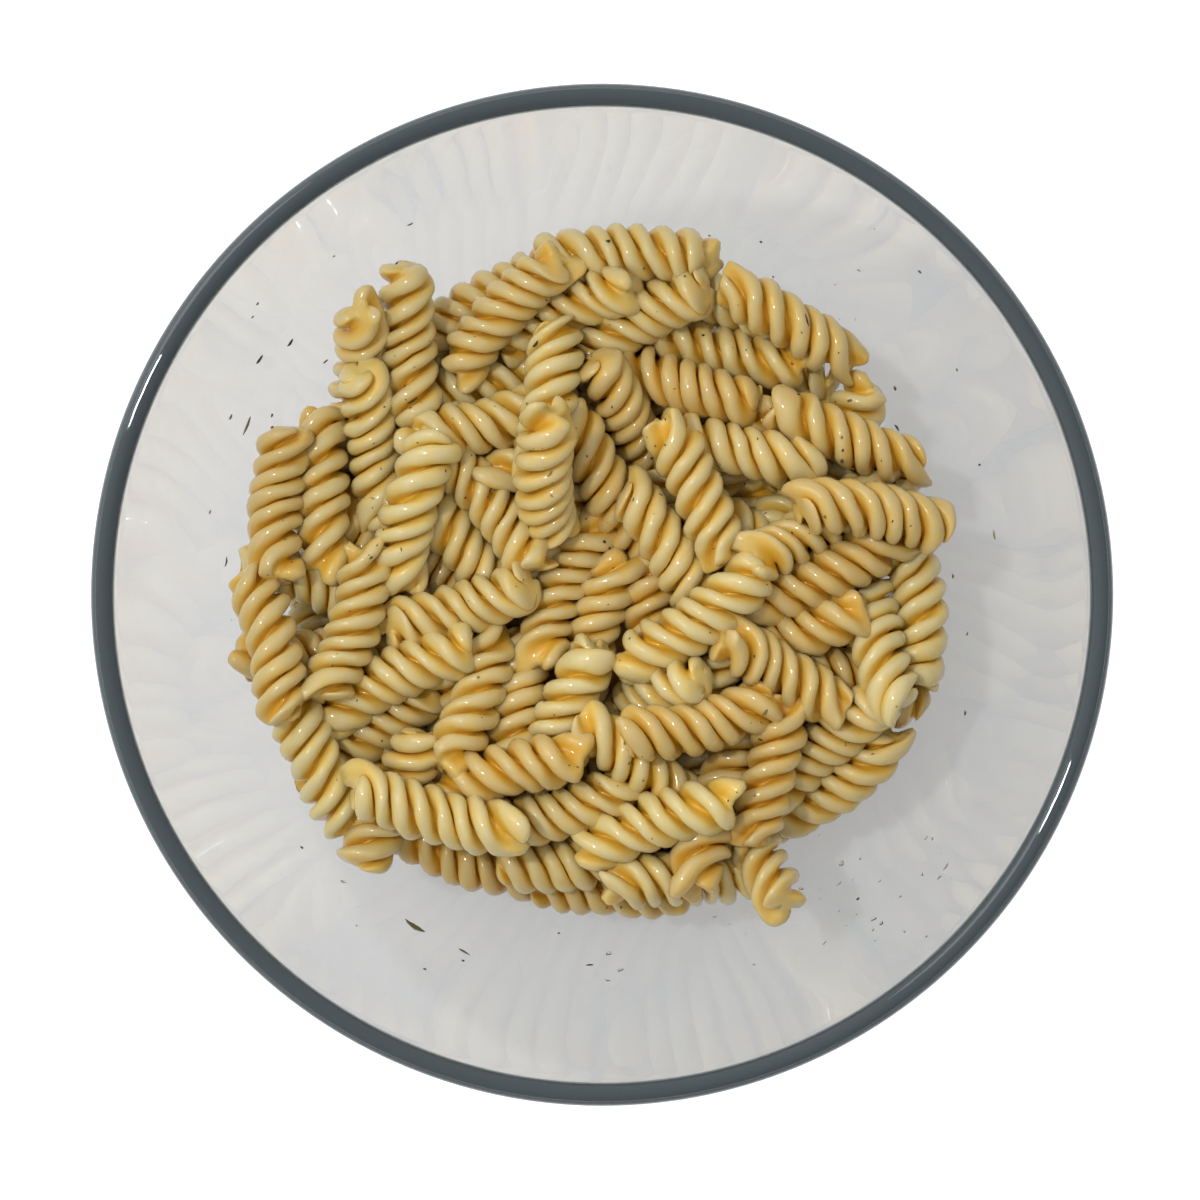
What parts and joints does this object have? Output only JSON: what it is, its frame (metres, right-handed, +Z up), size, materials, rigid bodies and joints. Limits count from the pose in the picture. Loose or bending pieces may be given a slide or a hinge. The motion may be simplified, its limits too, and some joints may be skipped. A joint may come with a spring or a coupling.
{
  "type": "bowl of cooked pasta",
  "caption": "Deep round clear glass mixing bowl holding a low uneven heap of cooked fusilli, short right-handed spiral pasta, wet with sauce and flecked with herbs and pepper.",
  "frame": {"origin": "centre of the underside of the bowl's foot", "axes": "+Z up along the bowl's axis; the bowl is round, so X and Y only fix how the pasta lies: the heap reaches furthest out towards -X +Y"},
  "size_m": [0.23, 0.23, 0.105],
  "materials": {
    "bowl_glass": "clear pressed glass, fire-polished lip",
    "pasta": null,
    "herbs": null,
    "sauce": null
  },
  "bodies": {
    "root": {"glass_bowl": "bowl_glass", "pasta_heap": "pasta"}
  },
  "joints": []
}
